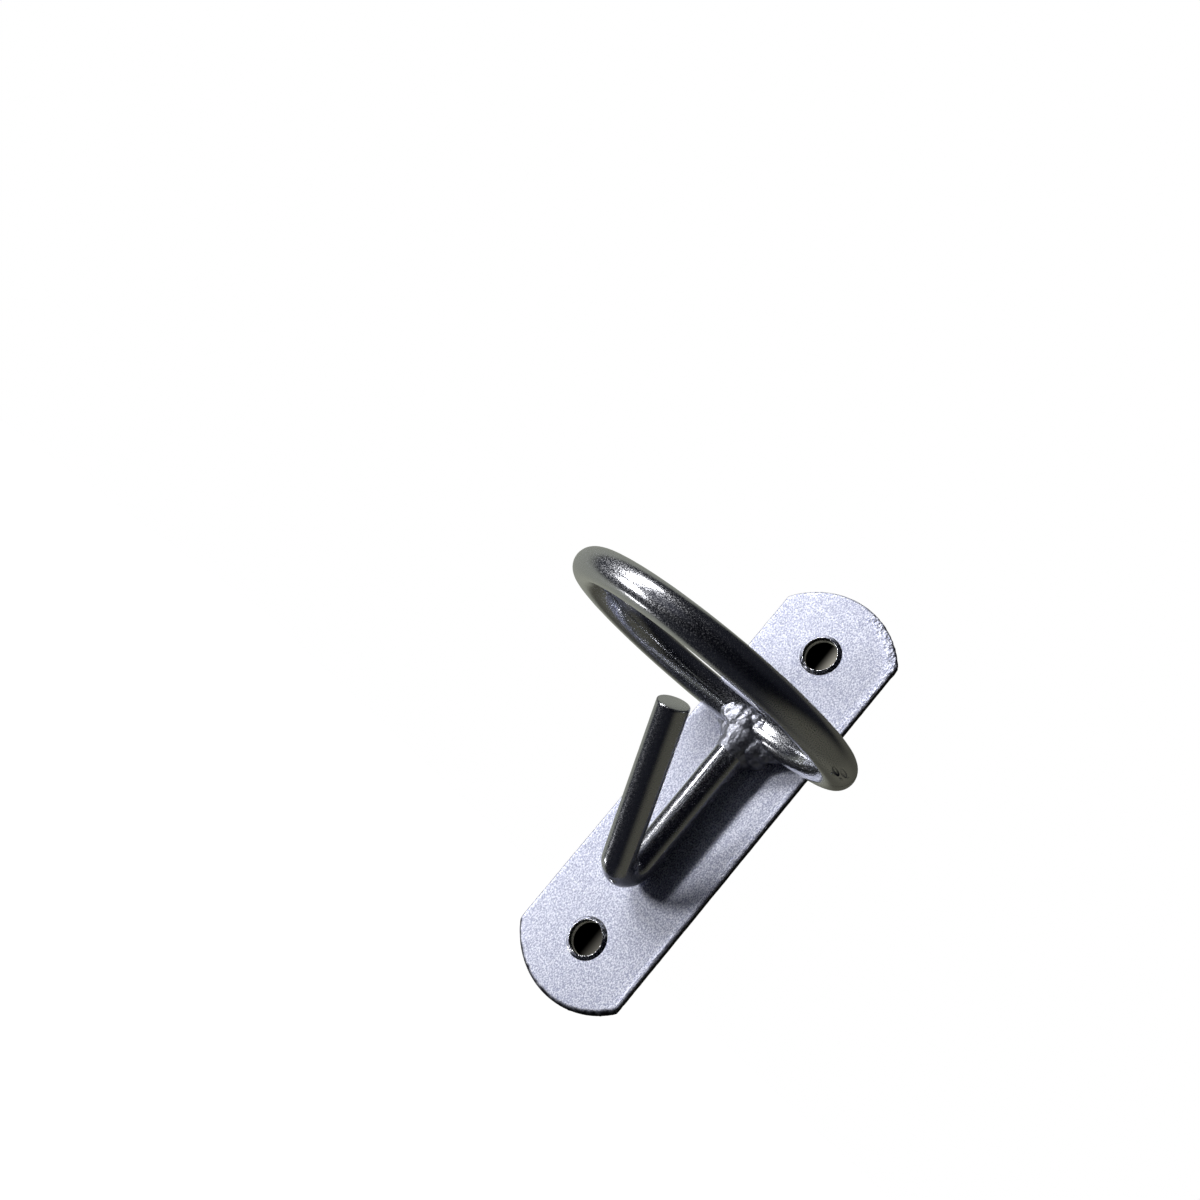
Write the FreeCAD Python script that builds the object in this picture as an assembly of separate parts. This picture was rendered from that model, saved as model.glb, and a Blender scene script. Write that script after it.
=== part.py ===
import FreeCAD, Part
import math
import os

# Wall bucket hook: a zinc-plated steel weldment of a flat plate, a level ring and a V-shaped hook.
# The origin is the centre of the plate's back face, which lies on the wall.
# +Z points up, -Y away from the wall, and +X to the right of a person who faces it.
# Lengths are in millimetres and angles in degrees.

Vector = FreeCAD.Vector

# Round bar, the same for the ring and the hook
bar_diameter = 8.0

# Plate, sheared and punched from flat steel
plate_width = 35.0
plate_length = 122.0
plate_thickness = 2.0
plate_end_radius = 22.0
plate_edge_round = 0.4

# Screw holes, each with the burr that the punch pushed up at the front
hole_diameter = 8.5
hole_spacing = 89.0
hole_burr_height = 0.8
hole_burr_crest = 0.2
hole_burr_width = 0.95

# Ring, bent until the bar's two ends meet
ring_inner_diameter = 62.0
ring_height = 20.5
ring_joint_gap = 0.25
ring_joint_angle = 12.0

# Hook, bent from straight bar; the corner is where the axes of its two legs would meet
hook_corner_depth = 58.0
hook_opening_angle = 33.0
hook_arm_length = 56.5
hook_inside_radius = 0.6
hook_turn_angle = 8.0
hook_tip_chamfer = 0.4

# Gaps that the welder leaves and the weld fills
fit_up_gap = 0.1
root_gap = 0.4

# Weld, laid drop by drop along the seams; a reach is counted from the hook's own axis or top
weld_nugget_radius = 5.6
weld_toe_radius = 3.1
weld_wetting = 0.85
weld_left_reach = 9.4
weld_right_reach = 8.0
weld_leg_reach = 2.6
weld_leg_radius = 5.1
weld_drop_pitch = 4.5
weld_lip_radius = 3.4
weld_lip_offset = 2.6
weld_arc_angle = 80.0

# Places that follow from the sizes above
bar_radius = bar_diameter / 2
plate_front = -plate_thickness
bar_at_plate = plate_front - fit_up_gap - bar_radius
ring_radius = ring_inner_diameter / 2 + bar_radius
ring_centre = Vector(0, bar_at_plate - ring_radius, ring_height)
hook_top = ring_height - bar_radius - root_gap


def plate_outline():
    """Two straight sides joined by shallow arcs, which meet the sides at a corner."""
    half_width = plate_width / 2
    arc_rise = plate_end_radius - math.sqrt(plate_end_radius ** 2 - half_width ** 2)
    tip = plate_length / 2
    shoulder = tip - arc_rise
    lower_left = Vector(-half_width, 0, -shoulder)
    lower_right = Vector(half_width, 0, -shoulder)
    upper_right = Vector(half_width, 0, shoulder)
    upper_left = Vector(-half_width, 0, shoulder)
    edges = [
        Part.LineSegment(lower_right, upper_right).toShape(),
        Part.Arc(upper_right, Vector(0, 0, tip), upper_left).toShape(),
        Part.LineSegment(upper_left, lower_left).toShape(),
        Part.Arc(lower_left, Vector(0, 0, -tip), lower_right).toShape(),
    ]
    return Part.Wire(edges)


def hole_burr():
    """The raised lip round a punched hole, revolved about the hole's axis at the origin."""
    wall = hole_diameter / 2
    crest = plate_front - hole_burr_height
    profile = Part.makePolygon([
        Vector(wall, plate_front, 0),
        Vector(wall, crest, 0),
        Vector(wall + hole_burr_crest, crest, 0),
        Vector(wall + hole_burr_width, plate_front, 0),
        Vector(wall, plate_front, 0),
    ])
    return Part.Face(profile).revolve(Vector(0, 0, 0), Vector(0, 1, 0), 360)


def make_mounting_plate():
    """Flat bar with rounded ends, its front edges rolled over, and two punched holes."""
    plate = Part.Face(plate_outline()).extrude(Vector(0, plate_front, 0))
    front_edges = [
        edge for edge in plate.Edges
        if all(abs(vertex.Y - plate_front) < 1e-6 for vertex in edge.Vertexes)
    ]
    plate = plate.makeFillet(plate_edge_round, front_edges)
    for height in (-hole_spacing / 2, hole_spacing / 2):
        start = Vector(0, plate_front - hole_burr_height, height)
        depth = plate_thickness + hole_burr_height
        hole = Part.makeCylinder(hole_diameter / 2, depth, start, Vector(0, 1, 0))
        burr = hole_burr()
        burr.translate(Vector(0, 0, height))
        plate = plate.fuse(burr).cut(hole)
    return plate.removeSplitter()


def bar_section(centre, direction):
    """A disc of bar, square to the direction that the bar runs in."""
    return Part.Face(Part.Wire(Part.Circle(centre, direction, bar_radius).toShape()))


def ring_arc(start_angle, sweep_angle):
    """A stretch of the ring, from its start angle anticlockwise as seen from above."""
    start = math.radians(start_angle)
    outward = Vector(math.cos(start), math.sin(start), 0)
    along = Vector(-math.sin(start), math.cos(start), 0)
    section = bar_section(ring_centre + outward * ring_radius, along)
    return section.revolve(ring_centre, Vector(0, 0, 1), sweep_angle)


def make_ring():
    """Bar bent to a ring, with a fine open joint where its ends face each other."""
    gap_angle = math.degrees(ring_joint_gap / ring_radius)
    return ring_arc(ring_joint_angle + gap_angle / 2, 360 - gap_angle)


def hook_path():
    """The bar's centre line: down the plate, round the tight bend and up the leaning arm."""
    opening = math.radians(hook_opening_angle)
    turn = math.radians(hook_turn_angle)
    arm = Vector(
        -math.sin(opening) * math.sin(turn),
        -math.sin(opening) * math.cos(turn),
        math.cos(opening),
    )
    leg = Vector(0, 0, 1)
    corner = Vector(0, bar_at_plate, ring_height - hook_corner_depth)
    bend_radius = hook_inside_radius + bar_radius
    setback = bend_radius / math.tan(opening / 2)
    bisector = (leg + arm).normalize()
    bend_centre = corner + bisector * (bend_radius / math.sin(opening / 2))
    leg_tangent = corner + leg * setback
    arm_tangent = corner + arm * setback
    top = Vector(0, bar_at_plate, hook_top)
    tip = corner + arm * hook_arm_length
    edges = [
        Part.LineSegment(top, leg_tangent).toShape(),
        Part.Arc(leg_tangent, bend_centre - bisector * bend_radius, arm_tangent).toShape(),
        Part.LineSegment(arm_tangent, tip).toShape(),
    ]
    return Part.Wire(edges)


def make_hook():
    """Straight bar bent to a narrow V, cut square at both ends, with the free end's edge broken."""
    top = Vector(0, bar_at_plate, hook_top)
    profile = Part.Wire(Part.Circle(top, Vector(0, 0, -1), bar_radius).toShape())
    bar = hook_path().makePipeShell([profile], True, False)
    end_faces = [face for face in bar.Faces if isinstance(face.Surface, Part.Plane)]
    free_end = min(end_faces, key=lambda face: face.CenterOfMass.y)
    return bar.makeChamfer(hook_tip_chamfer, free_end.Edges)


def seam_drop(along_ring, radius):
    """A drop of weld that sits on the ring's underside and wets the plate behind it."""
    angle = along_ring / ring_radius
    bar_centre = ring_centre + Vector(math.sin(angle), math.cos(angle), 0) * ring_radius
    depth = plate_front - weld_wetting * radius
    drop_below = math.sqrt(max(bar_radius ** 2 - (depth - bar_centre.y) ** 2, 0.0))
    return Part.makeSphere(radius, Vector(bar_centre.x, depth, ring_height - drop_below))


def seam_drops(reach):
    """Drops from beside the nugget to the end of the seam, each smaller than the last."""
    count = max(1, round(abs(reach) / weld_drop_pitch))
    drops = []
    for step in range(1, count + 1):
        share = step / count
        radius = weld_nugget_radius + (weld_toe_radius - weld_nugget_radius) * share
        drops.append(seam_drop(reach * share, radius))
    return drops


def make_weld(hook):
    """The weld metal that joins plate, ring and hook, and fills what they leave between them."""
    welded_arc = ring_arc(90 - weld_arc_angle / 2, weld_arc_angle)
    nugget = seam_drop(0, weld_nugget_radius)
    leg_depth = plate_front - weld_wetting * weld_leg_radius
    leg_drop = Part.makeSphere(weld_leg_radius, Vector(0, leg_depth, hook_top - weld_leg_reach))
    lip_height = ring_height - bar_radius / 2
    lip_depth = bar_at_plate - bar_radius
    lip_drop = Part.makeSphere(weld_lip_radius, Vector(-weld_lip_offset, lip_depth, lip_height))
    others = [leg_drop, lip_drop] + seam_drops(-weld_left_reach) + seam_drops(weld_right_reach)
    metal = nugget.multiFuse(others)
    span = 4 * (weld_left_reach + weld_right_reach + weld_nugget_radius)
    behind = Part.makeBox(span, span, span, Vector(-span / 2, plate_front, ring_height - span / 2))
    metal = metal.cut(behind).cut(welded_arc).cut(hook)
    return max(metal.Solids, key=lambda solid: solid.Volume)


hook = make_hook()
nodes = {
    "mounting_plate": make_mounting_plate(),
    "ring": make_ring(),
    "hook": hook,
    "weld": make_weld(hook),
}

os.makedirs("parts", exist_ok=True)
for name, shape in nodes.items():
    shape.exportStep("parts/" + name + ".step")
    print(name, "valid" if shape.isValid() else "not valid", len(shape.Solids), round(shape.Volume, 1))
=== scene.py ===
import math

import bpy
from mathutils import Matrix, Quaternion, Vector, noise


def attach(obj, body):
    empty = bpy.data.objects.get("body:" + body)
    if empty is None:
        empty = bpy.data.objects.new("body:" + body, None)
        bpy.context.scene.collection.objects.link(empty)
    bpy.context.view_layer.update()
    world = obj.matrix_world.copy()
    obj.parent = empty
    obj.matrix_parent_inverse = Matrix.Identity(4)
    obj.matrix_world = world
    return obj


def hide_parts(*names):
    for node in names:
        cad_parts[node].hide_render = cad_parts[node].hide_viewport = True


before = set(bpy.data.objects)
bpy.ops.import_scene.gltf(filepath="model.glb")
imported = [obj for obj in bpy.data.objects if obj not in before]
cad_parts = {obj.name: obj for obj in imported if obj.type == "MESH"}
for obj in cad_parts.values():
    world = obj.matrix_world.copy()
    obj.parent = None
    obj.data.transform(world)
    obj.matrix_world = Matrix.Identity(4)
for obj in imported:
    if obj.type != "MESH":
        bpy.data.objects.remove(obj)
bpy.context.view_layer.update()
scene = bpy.context.scene


# Mounting plate: 2 mm flat steel, sheared to length with shallow curved ends, and zinc
# plated. Its long edges are rolled, and the punch left a ragged burr round each hole.


def linear(hex_colour):
    """An sRGB hex value as the linear colour that a shader takes."""
    channels = [int(hex_colour[i:i + 2], 16) / 255 for i in (1, 3, 5)]
    light = [c / 12.92 if c <= 0.04045 else ((c + 0.055) / 1.055) ** 2.4 for c in channels]
    return (*light, 1.0)


def add_node(tree, kind, settings=None, inputs=None, links=None):
    """Adds a node, sets its properties and input values, and links its inputs to other nodes."""
    node = tree.nodes.new(kind)
    for name, value in (settings or {}).items():
        setattr(node, name, value)
    for socket, value in (inputs or {}).items():
        node.inputs[socket].default_value = value
    for socket, source in (links or {}).items():
        tree.links.new(source, node.inputs[socket])
    return node


def empty_material(name):
    """A material whose nodes are still to be added."""
    material = bpy.data.materials.new(name)
    material.use_nodes = True
    material.node_tree.nodes.clear()
    return material


def plated_plate():
    """Zinc on rolled sheet: lilac white satin, frosted by fine crystals that catch the light singly.
    At the upper right its skin is chipped, so that the edge glitters white and breaks up. The long
    edges show fine rolling lines. Faces turned away from front and back, and a ragged strip round the
    lower end, are painted nearly black as painted shade."""
    material = empty_material("zinc_on_rolled_flat_steel")
    tree = material.node_tree
    place = add_node(tree, "ShaderNodeTexCoord").outputs["Object"]
    along = add_node(
        tree, "ShaderNodeMapping", inputs={"Scale": (1.0, 1.0, 0.65)}, links={"Vector": place}
    )
    crystals = add_node(
        tree, "ShaderNodeTexNoise", inputs={"Scale": 3600.0, "Detail": 0.0},
        links={"Vector": along.outputs["Vector"]},
    )
    frost = add_node(
        tree, "ShaderNodeMapRange", inputs={"From Min": 0.30, "From Max": 0.70},
        links={"Value": crystals.outputs["Fac"]},
    )
    clouds = add_node(
        tree, "ShaderNodeTexNoise", inputs={"Scale": 420.0, "Detail": 3.0, "Roughness": 0.6},
        links={"Vector": place},
    )
    tone = add_node(
        tree, "ShaderNodeMix", {"data_type": "RGBA"},
        {"A": linear("#a6aac3"), "B": linear("#f0f2fc")},
        {"Factor": frost.outputs["Result"]},
    )
    # Painted shade: faces turned away from front and back, and a ragged strip round the lower end, are
    # darkened nearly to black
    side_shade_mask = add_node(tree, "ShaderNodeAttribute", {"attribute_name": "side_shade"})
    painted_side_shade = add_node(
        tree, "ShaderNodeMix", {"data_type": "RGBA"}, {"B": linear("#33353f")},
        {"Factor": side_shade_mask.outputs["Fac"], "A": tone.outputs["Result"]},
    )
    patchy = add_node(
        tree, "ShaderNodeMapRange",
        inputs={"From Min": 0.3, "From Max": 0.7, "To Min": 0.52, "To Max": 0.62},
        links={"Value": clouds.outputs["Fac"]},
    )
    frosted = add_node(
        tree, "ShaderNodeBump", inputs={"Strength": 1.0, "Distance": 0.00002},
        links={"Height": crystals.outputs["Fac"]},
    )
    chips = add_node(
        tree, "ShaderNodeTexVoronoi", {"feature": "F1"}, {"Scale": 800.0, "Detail": 1.0},
        {"Vector": place},
    )
    edge = add_node(tree, "ShaderNodeAttribute", {"attribute_name": "chipping"})
    scattered = add_node(
        tree, "ShaderNodeMath", {"operation": "MULTIPLY"},
        links={0: chips.outputs["Distance"], 1: clouds.outputs["Fac"]},
    )
    chipped = add_node(
        tree, "ShaderNodeMath", {"operation": "MULTIPLY"},
        links={0: scattered.outputs["Value"], 1: edge.outputs["Fac"]},
    )
    torn = add_node(
        tree, "ShaderNodeBump", inputs={"Strength": 1.0, "Distance": 0.0007},
        links={"Height": chipped.outputs["Value"], "Normal": frosted.outputs["Normal"]},
    )
    drawn_out = add_node(
        tree, "ShaderNodeMapping", inputs={"Scale": (1.0, 1.0, 0.05)}, links={"Vector": place}
    )
    lines = add_node(
        tree, "ShaderNodeTexNoise", inputs={"Scale": 1800.0, "Detail": 2.0},
        links={"Vector": drawn_out.outputs["Vector"]},
    )
    side = add_node(tree, "ShaderNodeAttribute", {"attribute_name": "rolling"})
    rolled = add_node(
        tree, "ShaderNodeMath", {"operation": "MULTIPLY"},
        links={0: lines.outputs["Fac"], 1: side.outputs["Fac"]},
    )
    bump = add_node(
        tree, "ShaderNodeBump", inputs={"Strength": 1.0, "Distance": 0.0001},
        links={"Height": rolled.outputs["Value"], "Normal": torn.outputs["Normal"]},
    )
    metal = add_node(
        tree, "ShaderNodeBsdfPrincipled", inputs={"Metallic": 1.0},
        links={
            "Base Color": painted_side_shade.outputs["Result"], "Roughness": patchy.outputs["Result"],
            "Normal": bump.outputs["Normal"],
        },
    )
    add_node(tree, "ShaderNodeOutputMaterial", links={"Surface": metal.outputs["BSDF"]})
    return material


def bright_zinc(name, sheen, grain_size, pits, colour="#dcdde2"):
    """Zinc on smooth steel: nearly a mirror, which fine grain breaks into speckle round a light.
    The sheen is the roughness from the clearest to the dullest grains, and the pits their depth."""
    material = empty_material(name)
    tree = material.node_tree
    grain = add_node(
        tree, "ShaderNodeTexNoise",
        inputs={"Scale": 1.0 / grain_size, "Detail": 3.0, "Roughness": 0.6},
        links={"Vector": add_node(tree, "ShaderNodeTexCoord").outputs["Object"]},
    )
    bump = add_node(
        tree, "ShaderNodeBump", inputs={"Strength": 1.0, "Distance": pits},
        links={"Height": grain.outputs["Fac"]},
    )
    speckle = add_node(
        tree, "ShaderNodeMapRange", {"interpolation_type": "SMOOTHSTEP"},
        {"From Min": 0.42, "From Max": 0.70, "To Min": sheen[0], "To Max": sheen[1]},
        {"Value": grain.outputs["Fac"]},
    )
    metal = add_node(
        tree, "ShaderNodeBsdfPrincipled",
        inputs={"Metallic": 1.0, "Base Color": linear(colour)},
        links={"Roughness": speckle.outputs["Result"], "Normal": bump.outputs["Normal"]},
    )
    add_node(tree, "ShaderNodeOutputMaterial", links={"Surface": metal.outputs["BSDF"]})
    return material


def pick(piece, test):
    """In edit mode, selects the vertices whose place passes the test, and nothing else."""
    bpy.ops.mesh.select_all(action="DESELECT")
    bpy.ops.object.mode_set(mode="OBJECT")
    for vertex in piece.data.vertices:
        vertex.select = test(vertex.co)
    bpy.ops.object.mode_set(mode="EDIT")


def edit_all(piece):
    """Selects only this piece and opens it in edit mode with everything in it selected."""
    bpy.ops.object.select_all(action="DESELECT")
    piece.select_set(True)
    bpy.context.view_layer.objects.active = piece
    bpy.ops.object.mode_set(mode="EDIT")
    bpy.ops.mesh.select_mode(type="VERT")
    bpy.ops.mesh.select_all(action="SELECT")


def apply_modifier(piece, kind, **settings):
    """Adds a modifier with these settings and applies it at once."""
    bpy.context.view_layer.objects.active = piece
    modifier = piece.modifiers.new("shaping", kind)
    for name, value in settings.items():
        setattr(modifier, name, value)
    bpy.ops.object.modifier_apply(modifier=modifier.name)


def crumple(piece, size, height, group="", direction="NORMAL"):
    """Pushes the surface in and out by up to about half the height, in lumps of that size."""
    lumps = bpy.data.textures.new("lumps", type="CLOUDS")
    lumps.noise_scale = size
    lumps.noise_depth = 2
    apply_modifier(
        piece, "DISPLACE", texture=lumps, texture_coords="GLOBAL", strength=height,
        mid_level=0.5, vertex_group=group, direction=direction,
    )


def clamp(value):
    """The value, or 0 or 1 where it lies beyond them."""
    return min(max(value, 0.0), 1.0)


mm = 0.001
half_width = 17.5 * mm
end_height = 61.0 * mm
end_radius = 22.0 * mm
sides_end = 48.0 * mm
thickness = 2.0 * mm
front_edge_round = 0.35 * mm
hole_radius = 4.25 * mm
hole_height = 44.5 * mm
burr_inset = 0.1 * mm
corner_x = 4.0 * mm
lower_end = -46.0 * mm

bpy.ops.object.select_all(action="DESELECT")
bpy.ops.mesh.primitive_circle_add(
    vertices=384, radius=end_radius, fill_type="NGON",
    location=(0.0, 0.0, end_height - end_radius), rotation=(math.radians(90.0), 0.0, 0.0),
)
plate = bpy.context.object
plate.name = "zinc_plated_plate"
bpy.ops.object.transform_apply(location=True, rotation=True, scale=True)
edit_all(plate)
bpy.ops.mesh.bisect(plane_co=(half_width, 0.0, 0.0), plane_no=(1.0, 0.0, 0.0), clear_outer=True)
bpy.ops.mesh.select_all(action="SELECT")
bpy.ops.mesh.bisect(plane_co=(-half_width, 0.0, 0.0), plane_no=(-1.0, 0.0, 0.0), clear_outer=True)
bpy.ops.mesh.select_all(action="SELECT")
bpy.ops.mesh.bisect(plane_co=(0.0, 0.0, sides_end), plane_no=(0.0, 0.0, -1.0), clear_outer=True)
pick(plate, lambda place: place.z < sides_end + 0.5 * mm)
bpy.ops.transform.resize(value=(1.0, 1.0, 0.0), center_override=(0.0, 0.0, 0.0))
bpy.ops.mesh.select_all(action="SELECT")
bpy.ops.mesh.extrude_region_move(TRANSFORM_OT_translate={"value": (0.0, -thickness, 0.0)})
bpy.ops.mesh.select_all(action="SELECT")
bpy.ops.mesh.normals_make_consistent(inside=False)
bpy.ops.object.mode_set(mode="OBJECT")
apply_modifier(plate, "MIRROR", use_axis=(False, False, True), use_bisect_axis=(False, False, True))
edit_all(plate)
bpy.ops.mesh.remove_doubles(threshold=0.002 * mm)
pick(plate, lambda place: place.y < -thickness + 0.01 * mm)
bpy.ops.mesh.region_to_loop()
bpy.ops.mesh.bevel(offset=front_edge_round, segments=3, profile=0.5)
bpy.ops.object.mode_set(mode="OBJECT")
for height in (hole_height, -hole_height):
    bpy.ops.object.select_all(action="DESELECT")
    bpy.ops.mesh.primitive_cylinder_add(
        vertices=128, radius=hole_radius + burr_inset, depth=10.0 * thickness,
        location=(0.0, 0.0, height), rotation=(math.radians(90.0), 0.0, 0.0),
    )
    punch = bpy.context.object
    apply_modifier(plate, "BOOLEAN", operation="DIFFERENCE", object=punch, solver="EXACT")
    bpy.data.objects.remove(punch)
apply_modifier(plate, "REMESH", mode="VOXEL", voxel_size=0.35 * mm, use_smooth_shade=True)
apply_modifier(plate, "SMOOTH", factor=0.5, iterations=2)


def from_end_arc(place):
    """How far inside the arc of the plate's nearer end this place lies."""
    return end_radius - math.hypot(place.x, max(abs(place.z) - (end_height - end_radius), 0.0))


edge_weight = plate.vertex_groups.new(name="sheared_edge")
drooping = plate.vertex_groups.new(name="drooping_edge")
torn_weight = plate.vertex_groups.new(name="torn_edge")
for vertex in plate.data.vertices:
    x, y, z = vertex.co
    from_arc = from_end_arc(vertex.co)
    near = max(0.0, 1.0 - min(from_arc, half_width - abs(x)) / (0.9 * mm))
    edge_weight.add([vertex.index], near, "REPLACE")
    droop = max(0.0, 1.0 - from_arc / (1.1 * mm)) ** 2 if z < lower_end and y < -0.9 * mm else 0.0
    drooping.add([vertex.index], min(droop, 1.0), "REPLACE")
    torn = near if x > corner_x and abs(z) > 50.0 * mm else 0.1 * near
    torn_weight.add([vertex.index], torn, "REPLACE")
apply_modifier(
    plate, "DISPLACE", direction="Y", strength=0.8 * mm, mid_level=0.0, vertex_group="drooping_edge"
)
crumple(plate, size=2.2 * mm, height=0.10 * mm, group="sheared_edge")
crumple(plate, size=0.9 * mm, height=0.30 * mm, group="torn_edge")
for name in ("chipping", "rolling", "side_shade"):
    plate.data.attributes.new(name, "FLOAT", "POINT")
chipping = plate.data.attributes["chipping"]
rolling = plate.data.attributes["rolling"]
side_shade = plate.data.attributes["side_shade"]
for vertex in plate.data.vertices:
    x, y, z = vertex.co
    from_arc = from_end_arc(vertex.co)
    from_side = half_width - x
    chipped = 0.3 * clamp(1.0 - from_side / (2.0 * mm))
    if x > corner_x and z > 40.0 * mm:
        near_side = clamp(1.0 - from_side / (2.0 * mm))
        chipped = max(clamp(1.0 - from_arc / (3.2 * mm)), 0.7 * near_side)
    chipping.data[vertex.index].value = chipped
    rolling.data[vertex.index].value = clamp(1.0 - from_side / (6.0 * mm))
    # Painted shade, strongest on faces turned away from front and back and on a ragged strip round the
    # lower end
    turned = 1.0 - abs(vertex.normal.y)
    side_shade_amount = clamp((turned - 0.25) / 0.4)
    if z < lower_end:
        ragged = 1.4 + 0.8 * noise.noise(vertex.co / (1.1 * mm)) - from_arc / (0.8 * mm)
        side_shade_amount = max(side_shade_amount, clamp(ragged))
    side_shade.data[vertex.index].value = side_shade_amount


def draw_line(places):
    """One vertex, extruded from place to place, as an outline to be spun."""
    bpy.ops.object.select_all(action="DESELECT")
    bpy.ops.mesh.primitive_plane_add(size=mm, location=(0.0, 0.0, 0.0))
    line = bpy.context.object
    edit_all(line)
    bpy.ops.mesh.merge(type="CENTER")
    bpy.ops.transform.translate(value=places[0])
    for before, after in zip(places, places[1:]):
        step = Vector(after) - Vector(before)
        bpy.ops.mesh.extrude_region_move(TRANSFORM_OT_translate={"value": step})
    return line


punched_zinc = bright_zinc("zinc_on_punched_burr", (0.14, 0.34), 0.30 * mm, 0.004 * mm)
plate.data.materials.append(plated_plate())
# Radius and depth in millimetres: up the hole's wall, over the crest and back inside the plate
burr_outline = [
    (4.25, -0.02), (4.25, -0.7), (4.25, -1.4), (4.25, -2.0), (4.26, -2.35), (4.29, -2.6),
    (4.34, -2.76), (4.44, -2.74), (4.60, -2.60), (4.82, -2.40), (5.04, -2.20), (5.26, -2.04),
    (5.42, -1.96), (5.42, -1.75), (4.95, -1.60), (4.60, -0.9), (4.55, -0.02), (4.25, -0.02),
]
burrs = []
for height in (hole_height, -hole_height):
    burr = draw_line([(radius * mm, depth * mm, height) for radius, depth in burr_outline])
    bpy.ops.mesh.select_all(action="SELECT")
    bpy.ops.mesh.spin(steps=180, angle=2 * math.pi, center=(0.0, 0.0, height), axis=(0.0, 1.0, 0.0))
    bpy.ops.mesh.select_all(action="SELECT")
    bpy.ops.mesh.remove_doubles(threshold=0.001 * mm)
    bpy.ops.mesh.normals_make_consistent(inside=False)
    bpy.ops.object.mode_set(mode="OBJECT")
    bpy.ops.object.shade_smooth()
    crest_weight = burr.vertex_groups.new(name="crest")
    for vertex in burr.data.vertices:
        raised = (-vertex.co.y - 2.05 * mm) / (0.6 * mm)
        crest_weight.add([vertex.index], clamp(raised), "REPLACE")
    crumple(burr, size=1.3 * mm, height=0.45 * mm, group="crest", direction="Y")
    crumple(burr, size=0.6 * mm, height=0.10 * mm, group="crest")
    burr.data.materials.append(punched_zinc)
    burrs.append(burr)

bpy.ops.object.select_all(action="DESELECT")
for piece in burrs + [plate]:
    piece.select_set(True)
bpy.context.view_layer.objects.active = plate
bpy.ops.object.join()
plate.vertex_groups.clear()
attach(plate, "root")
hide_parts("mounting_plate")


# Ring: 8 mm drawn bar, bent until its two ends meet at the right, beside the plate. Just before
# the joint the bender's jaw left two long grooves, and a few beads of spatter stuck there.


bar_radius = 4.0 * mm
ring_radius = 35.0 * mm
bar_depth = -6.1 * mm
ring_height = 20.5 * mm
ring_centre = Vector((0.0, bar_depth - ring_radius, ring_height))
joint_angle = math.radians(12.0)
joint_gap_angle = 0.25 * mm / ring_radius

start = joint_angle + joint_gap_angle / 2
bpy.ops.object.select_all(action="DESELECT")
bpy.ops.mesh.primitive_circle_add(
    vertices=72, radius=bar_radius, fill_type="NOTHING",
    location=ring_centre + ring_radius * Vector((math.cos(start), math.sin(start), 0.0)),
    rotation=(math.radians(90.0), 0.0, start),
)
ring = bpy.context.object
ring.name = "bent_ring"
bpy.ops.object.transform_apply(location=True, rotation=True, scale=True)
edit_all(ring)
bpy.ops.mesh.spin(
    steps=300, angle=2 * math.pi - joint_gap_angle, center=ring_centre, axis=(0.0, 0.0, 1.0)
)
bpy.ops.mesh.select_all(action="DESELECT")
bpy.ops.mesh.select_non_manifold()
bpy.ops.mesh.fill_holes(sides=0)
bpy.ops.mesh.select_all(action="SELECT")
bpy.ops.mesh.normals_make_consistent(inside=False)
bpy.ops.object.mode_set(mode="OBJECT")
bpy.ops.object.shade_smooth_by_angle(angle=math.radians(40.0))
crumple(ring, size=5.0 * mm, height=0.05 * mm)


def small_lumps(lumps):
    """Balls stretched along Y, as one piece; each has a place, a radius and a half length in mm."""
    balls = []
    for x, y, z, radius, half_length in lumps:
        bpy.ops.object.select_all(action="DESELECT")
        bpy.ops.mesh.primitive_ico_sphere_add(
            subdivisions=4, radius=mm, location=(x * mm, y * mm, z * mm),
            scale=(radius, half_length, radius),
        )
        bpy.ops.object.shade_smooth()
        balls.append(bpy.context.object)
    bpy.ops.object.select_all(action="DESELECT")
    for ball in balls:
        ball.select_set(True)
    bpy.context.view_layer.objects.active = balls[0]
    bpy.ops.object.join()
    bpy.ops.object.transform_apply(location=True, rotation=True, scale=True)
    return balls[0]


grooves = small_lumps([
    (38.10, -43.7, 18.24, 0.52, 2.7), (38.72, -41.1, 19.21, 0.52, 2.7),
])
beads = small_lumps([
    (37.70, -43.1, 17.60, 0.30, 0.80), (38.20, -39.2, 18.20, 0.30, 0.70),
    (38.60, -37.6, 19.50, 0.30, 0.60),
])
apply_modifier(ring, "BOOLEAN", operation="DIFFERENCE", object=grooves, solver="EXACT")
apply_modifier(ring, "BOOLEAN", operation="UNION", object=beads, solver="EXACT")
bpy.data.objects.remove(grooves)
bpy.data.objects.remove(beads)
drawn_zinc = bright_zinc("zinc_on_drawn_bar", (0.14, 0.42), 0.25 * mm, 0.0035 * mm)
ring.data.materials.append(drawn_zinc)
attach(ring, "root")
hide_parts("ring")


# Hook: the same bar, cut square and bent to a narrow V round a former of almost no radius.
# Its leg lies along the plate, and its arm leans out to the left.

opening = math.radians(33.0)
turn = math.radians(8.0)
inside_radius = 0.6 * mm
corner_depth = 58.0 * mm
arm_direction = Vector((
    -math.sin(opening) * math.sin(turn),
    -math.sin(opening) * math.cos(turn),
    math.cos(opening),
))
bend_radius = bar_radius + inside_radius
corner = Vector((0.0, bar_depth, ring_height - corner_depth))
setback = bend_radius / math.tan(opening / 2)
bisector = (Vector((0.0, 0.0, 1.0)) + arm_direction).normalized()
bend_centre = corner + bisector * (bend_radius / math.sin(opening / 2))
leg_top = 16.1 * mm
leg_steps = 54
arm_steps = 58
arm_length = 56.5 * mm

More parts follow.
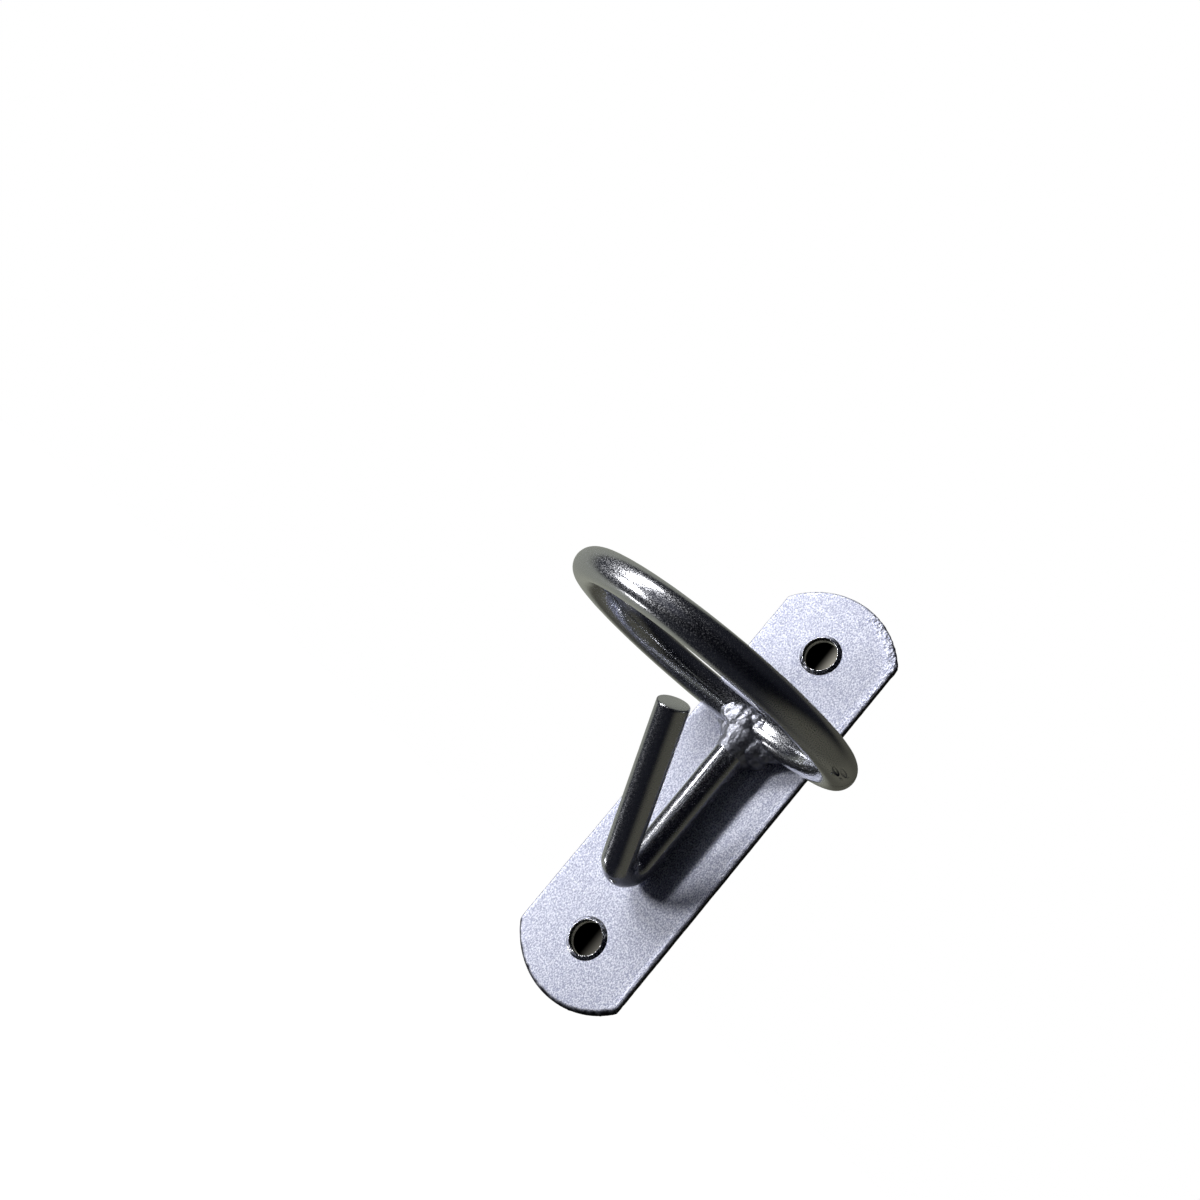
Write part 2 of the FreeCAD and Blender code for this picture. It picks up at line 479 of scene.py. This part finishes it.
bpy.ops.object.select_all(action="DESELECT")
bpy.ops.mesh.primitive_circle_add(
    vertices=72, radius=bar_radius, fill_type="NOTHING", location=(0.0, bar_depth, leg_top)
)
hook = bpy.context.object
hook.name = "bent_hook"
bpy.ops.object.transform_apply(location=True, rotation=True, scale=True)
edit_all(hook)
leg_step = (corner.z + setback - leg_top) / leg_steps
for step in range(leg_steps):
    bpy.ops.mesh.extrude_region_move(TRANSFORM_OT_translate={"value": (0.0, 0.0, leg_step)})
bpy.ops.mesh.spin(
    steps=36, angle=math.pi - opening, center=bend_centre,
    axis=arm_direction.cross(Vector((0.0, 0.0, -1.0))).normalized(),
)
arm_step = arm_direction * ((arm_length - setback) / arm_steps)
for step in range(arm_steps):
    bpy.ops.mesh.extrude_region_move(TRANSFORM_OT_translate={"value": arm_step})
bpy.ops.mesh.select_all(action="DESELECT")
bpy.ops.mesh.select_non_manifold()
bpy.ops.mesh.fill_holes(sides=0)
tip = corner + arm_direction * arm_length
pick(hook, lambda place: abs((place - tip).dot(arm_direction)) < 0.01 * mm)
bpy.ops.mesh.bevel(offset=0.3 * mm, segments=3, profile=0.5)
bpy.ops.mesh.select_all(action="SELECT")
bpy.ops.mesh.normals_make_consistent(inside=False)
bpy.ops.object.mode_set(mode="OBJECT")
bpy.ops.object.shade_smooth_by_angle(angle=math.radians(40.0))
crumple(hook, size=5.0 * mm, height=0.05 * mm)
bent_zinc = bright_zinc("zinc_on_cut_and_bent_bar", (0.13, 0.36), 0.25 * mm, 0.0035 * mm)
hook.data.materials.append(bent_zinc)
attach(hook, "root")
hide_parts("hook")


# Weld: drops of arc weld that ran together under the ring and round the top of the leg.
# They wet the bars and the plate, so the metal flows into them in fillets, and its skin froze
# crumpled on the left and pitted in front. It was zinc plated with the rest.

# Place and radius in millimetres: under the ring, then round the top of the leg
drops = [
    (0.0, -6.2, 13.4, 4.5), (0.0, -6.4, 16.0, 5.0), (-4.6, -5.0, 16.0, 2.8),
    (-7.2, -4.6, 17.0, 2.0), (4.2, -6.4, 15.8, 3.2), (6.8, -5.8, 16.4, 2.6),
    (9.0, -5.6, 17.2, 1.9), (2.6, -4.6, 12.6, 3.0), (5.0, -4.2, 14.2, 3.0),
    (-5.4, -9.2, 19.0, 2.2), (-3.2, -9.2, 18.7, 2.7), (-0.8, -9.1, 18.7, 2.7),
    (-5.8, -8.8, 20.4, 2.1), (-3.6, -8.6, 20.8, 2.2), (-1.2, -8.3, 21.0, 2.3),
    (1.2, -8.2, 21.0, 2.3), (3.4, -8.4, 20.7, 2.1), (5.0, -8.9, 20.4, 1.6),
]
half_span = 15.0 * mm
lowest = 3.0 * mm
furthest_out = -18.0 * mm
front_face = -10.6 * mm
leg_side = 14.0 * mm
melt = []
for x, y, z, size in drops:
    bpy.ops.object.select_all(action="DESELECT")
    bpy.ops.mesh.primitive_ico_sphere_add(
        subdivisions=4, radius=size * mm, location=(x * mm, y * mm, z * mm)
    )
    melt.append(bpy.context.object)
# The stretches of bar beside the weld join the melt, a little thinned, as the metal it flows into
for bar in (ring, hook):
    soaked = bar.copy()
    soaked.data = bar.data.copy()
    soaked.parent = None
    scene.collection.objects.link(soaked)
    edit_all(soaked)
    for place, outward in (
        ((-half_span, 0.0, 0.0), (-1.0, 0.0, 0.0)),
        ((half_span, 0.0, 0.0), (1.0, 0.0, 0.0)),
        ((0.0, furthest_out, 0.0), (0.0, -1.0, 0.0)),
        ((0.0, 0.0, lowest), (0.0, 0.0, -1.0)),
    ):
        bpy.ops.mesh.select_all(action="SELECT")
        bpy.ops.mesh.bisect(plane_co=place, plane_no=outward, clear_outer=True, use_fill=True)
    bpy.ops.mesh.select_all(action="SELECT")
    bpy.ops.transform.shrink_fatten(value=-0.12 * mm)
    bpy.ops.object.mode_set(mode="OBJECT")
    melt.append(soaked)
# So does a slab inside the plate
bpy.ops.object.select_all(action="DESELECT")
bpy.ops.mesh.primitive_cube_add(
    size=1.0, location=(0.0, -thickness / 2, 14.0 * mm), scale=(2 * half_span, 1.8 * mm, 26.0 * mm)
)
melt.append(bpy.context.object)
bpy.ops.object.select_all(action="DESELECT")
for piece in melt:
    piece.select_set(True)
weld = melt[0]
bpy.context.view_layer.objects.active = weld
bpy.ops.object.join()
weld.name = "arc_weld"
bpy.ops.object.transform_apply(location=True, rotation=True, scale=True)
apply_modifier(weld, "REMESH", mode="VOXEL", voxel_size=0.24 * mm, use_smooth_shade=True)
# The melt sagged back under the ring, so its front is flatter than the drops
edit_all(weld)
pick(weld, lambda place: place.y < front_face and place.z > leg_side)
bpy.ops.transform.resize(value=(1.0, 0.6, 1.0), center_override=(0.0, front_face, 0.0))
bpy.ops.object.mode_set(mode="OBJECT")
apply_modifier(weld, "SMOOTH", factor=0.5, iterations=16)
skin = weld.vertex_groups.new(name="skin")
for vertex in weld.data.vertices:
    nearest = min((vertex.co - Vector(drop[:3]) * mm).length - drop[3] * mm for drop in drops)
    skin.add([vertex.index], clamp(1.0 - nearest / (0.8 * mm)), "REPLACE")
crumple(weld, size=2.4 * mm, height=0.45 * mm, group="skin")
crumple(weld, size=0.8 * mm, height=0.12 * mm, group="skin")
weld.vertex_groups.clear()
weld.data.materials.clear()
frozen_zinc = bright_zinc("zinc_on_arc_weld", (0.34, 0.58), 0.65 * mm, 0.110 * mm, "#b2b4bf")
weld.data.materials.append(frozen_zinc)
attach(weld, "root")
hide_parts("weld")


# Studio: a pale floor far below, and of the wall behind the plate the part that shows through
# the holes, with the light that falls through them painted on it as a glow. The world is white to
# the camera, and to all else the dark room that the metal mirrors, with pale backdrops behind it
# and two bright strips in front on the left.

bpy.ops.object.select_all(action="DESELECT")
bpy.ops.mesh.primitive_plane_add(size=6.0, location=(0.0, 0.0, -0.3))
floor = bpy.context.object
floor.name = "studio_floor"
floor_paint = empty_material("matt_white_floor")
tree = floor_paint.node_tree
path = add_node(tree, "ShaderNodeLightPath")
paint = add_node(tree, "ShaderNodeBsdfDiffuse", inputs={"Color": linear("#e8e8e6")})
glow = add_node(tree, "ShaderNodeEmission", inputs={"Strength": 0.99})
lifted = add_node(
    tree, "ShaderNodeAddShader", links={0: paint.outputs["BSDF"], 1: glow.outputs["Emission"]}
)
clear = add_node(tree, "ShaderNodeBsdfTransparent")
shown = add_node(
    tree, "ShaderNodeMixShader",
    links={0: path.outputs["Is Camera Ray"], 1: clear.outputs["BSDF"], 2: lifted.outputs["Shader"]},
)
add_node(tree, "ShaderNodeOutputMaterial", links={"Surface": shown.outputs["Shader"]})
floor.data.materials.append(floor_paint)

bpy.ops.object.select_all(action="DESELECT")
bpy.ops.mesh.primitive_plane_add(
    size=1.0, location=(0.0, 0.9 * mm, 0.0), rotation=(math.radians(90.0), 0.0, 0.0)
)
wall = bpy.context.object
wall.name = "wall_behind_holes"
wall.scale = (30.0 * mm, 105.0 * mm, 1.0)
bpy.ops.object.transform_apply(location=True, rotation=True, scale=True)
wall_painted_light = empty_material("beige_wall_painted_light")
tree = wall_painted_light.node_tree
path = add_node(tree, "ShaderNodeLightPath")
side = add_node(tree, "ShaderNodeNewGeometry")
seen = add_node(
    tree, "ShaderNodeMath", {"operation": "MAXIMUM"},
    links={0: path.outputs["Is Camera Ray"], 1: path.outputs["Is Glossy Ray"]},
)
# Only the plate's own back, which lies close in front of the wall, would mirror it from nearer
from_afar = add_node(
    tree, "ShaderNodeMath", {"operation": "GREATER_THAN"}, {1: 2.5 * mm},
    {0: path.outputs["Ray Length"]},
)
met = add_node(
    tree, "ShaderNodeMath", {"operation": "MULTIPLY"},
    links={0: seen.outputs["Value"], 1: from_afar.outputs["Value"]},
)
in_front = add_node(
    tree, "ShaderNodeMath", {"operation": "SUBTRACT", "use_clamp": True},
    links={0: met.outputs["Value"], 1: side.outputs["Backfacing"]},
)
# Painted light: a soft beige glow on the right of each hole, where the lamps would shine through,
# brighter towards the top, and black elsewhere
spot = add_node(tree, "ShaderNodeSeparateXYZ", links={
    "Vector": add_node(tree, "ShaderNodeTexCoord").outputs["Object"]
})
lit = add_node(
    tree, "ShaderNodeMapRange", {"interpolation_type": "SMOOTHSTEP"},
    {"From Min": -0.6 * mm, "From Max": 4.6 * mm}, {"Value": spot.outputs["X"]},
)
lighter_above = add_node(
    tree, "ShaderNodeMapRange",
    inputs={"From Min": -hole_height, "From Max": hole_height, "To Min": 0.35, "To Max": 1.0},
    links={"Value": spot.outputs["Z"]},
)
strength = add_node(
    tree, "ShaderNodeMath", {"operation": "MULTIPLY"},
    links={0: lit.outputs["Result"], 1: lighter_above.outputs["Result"]},
)
clear = add_node(tree, "ShaderNodeBsdfTransparent")
# The painted light glows by itself and takes nothing from the lamps
paint = add_node(
    tree, "ShaderNodeEmission", inputs={"Color": linear("#bdb9ae")},
    links={"Strength": strength.outputs["Value"]},
)
shown = add_node(
    tree, "ShaderNodeMixShader",
    links={0: in_front.outputs["Value"], 1: clear.outputs["BSDF"], 2: paint.outputs["Emission"]},
)
add_node(tree, "ShaderNodeOutputMaterial", links={"Surface": shown.outputs["Shader"]})
wall.data.materials.append(wall_painted_light)

world = bpy.data.worlds.new("studio")
scene.world = world
world.use_nodes = True
tree = world.node_tree
tree.nodes.clear()
path = add_node(tree, "ShaderNodeLightPath")
direction = add_node(tree, "ShaderNodeTexCoord").outputs["Generated"]


def glow_towards(way, fades_in, full, colour, height=1.0):
    """Light of this colour from directions near this one; a height below 1 draws it up and down."""
    squeezed = add_node(
        tree, "ShaderNodeVectorMath", {"operation": "MULTIPLY"}, {1: (1.0, 1.0, height)},
        {0: direction},
    )
    unit = add_node(
        tree, "ShaderNodeVectorMath", {"operation": "NORMALIZE"}, links={0: squeezed.outputs["Vector"]}
    )
    nearness = add_node(
        tree, "ShaderNodeVectorMath", {"operation": "DOT_PRODUCT"}, {1: Vector(way).normalized()},
        {0: unit.outputs["Vector"]},
    )
    share = add_node(
        tree, "ShaderNodeMapRange", {"interpolation_type": "SMOOTHSTEP"},
        {"From Min": fades_in, "From Max": full},
        {"Value": nearness.outputs["Value"]},
    )
    return add_node(
        tree, "ShaderNodeMix", {"data_type": "RGBA"},
        {"A": (0.0, 0.0, 0.0, 1.0), "B": linear(colour)},
        {"Factor": share.outputs["Result"]},
    ).outputs["Result"]


room = add_node(tree, "ShaderNodeRGB").outputs["Color"]
room.default_value = linear("#08090f")
for glow in (
    glow_towards((-0.80, 0.60, 0.0), 0.78, 0.93, "#8b8d82", 0.35),
    glow_towards((0.80, 0.55, -0.30), 0.50, 0.95, "#4e4d43"),
    glow_towards((-0.1, 1.0, 0.0), 0.70, 1.0, "#4e4d43", 0.35),
    glow_towards((-0.55, -0.83, 0.1), 0.80, 1.0, "#3f4048"),
    glow_towards((-1.0, 0.0, 0.0), 0.3, 1.0, "#1d1f26"),
    glow_towards((0.0, 0.0, 1.0), 0.3, 1.0, "#17181c"),
    glow_towards((0.0, 0.0, -1.0), 0.3, 1.0, "#17181c"),
):
    room = add_node(
        tree, "ShaderNodeMix", {"data_type": "RGBA", "blend_type": "ADD"}, {"Factor": 1.0},
        {"A": room, "B": glow},
    ).outputs["Result"]
seen = add_node(
    tree, "ShaderNodeMix", {"data_type": "RGBA"},
    {"B": (1.0, 1.0, 1.0, 1.0)},
    {"Factor": path.outputs["Is Camera Ray"], "A": room},
)
light = add_node(tree, "ShaderNodeBackground", links={"Color": seen.outputs["Result"]})
add_node(tree, "ShaderNodeOutputWorld", links={"Surface": light.outputs["Background"]})

lamp_distance = 0.6
for name, azimuth, elevation, width, height, lean, power in (
    ("low_strip", -46.5, -17.0, 0.058, 0.144, 0.0, 1.2),
    ("high_strip", -44.5, 22.0, 0.055, 0.42, -6.0, 2.1),
    ("low_lamp", -84.0, -52.0, 0.022, 0.10, 0.0, 0.12),
):
    around, above = math.radians(azimuth), math.radians(elevation)
    toward = Vector((
        math.sin(around) * math.cos(above), -math.cos(around) * math.cos(above), math.sin(above)
    ))
    bpy.ops.object.light_add(type="AREA", location=lamp_distance * toward)
    lamp = bpy.context.object
    lamp.name = name
    lamp.data.shape = "RECTANGLE"
    lamp.data.size = width
    lamp.data.size_y = height
    lamp.data.energy = power
    upright = toward.to_track_quat("Z", "Y") @ Quaternion((0.0, 0.0, 1.0), math.radians(lean))
    lamp.rotation_euler = upright.to_euler()


# Camera, as the photograph was taken: from the right and a little below, held at a slant.

place = Vector((0.138688, -0.303359, -0.014664))
aim = Vector((-0.0485, -0.0195, 0.0207))
bpy.ops.object.camera_add(location=place)
camera = bpy.context.object
camera.name = "camera"
level = (aim - place).to_track_quat("-Z", "Y")
camera.rotation_euler = (level @ Quaternion((0.0, 0.0, 1.0), math.radians(40.48))).to_euler()
camera.data.sensor_width = 36.0
camera.data.lens = 40.52
camera.data.clip_start = 0.01
scene.camera = camera
scene.view_settings.view_transform = "Standard"
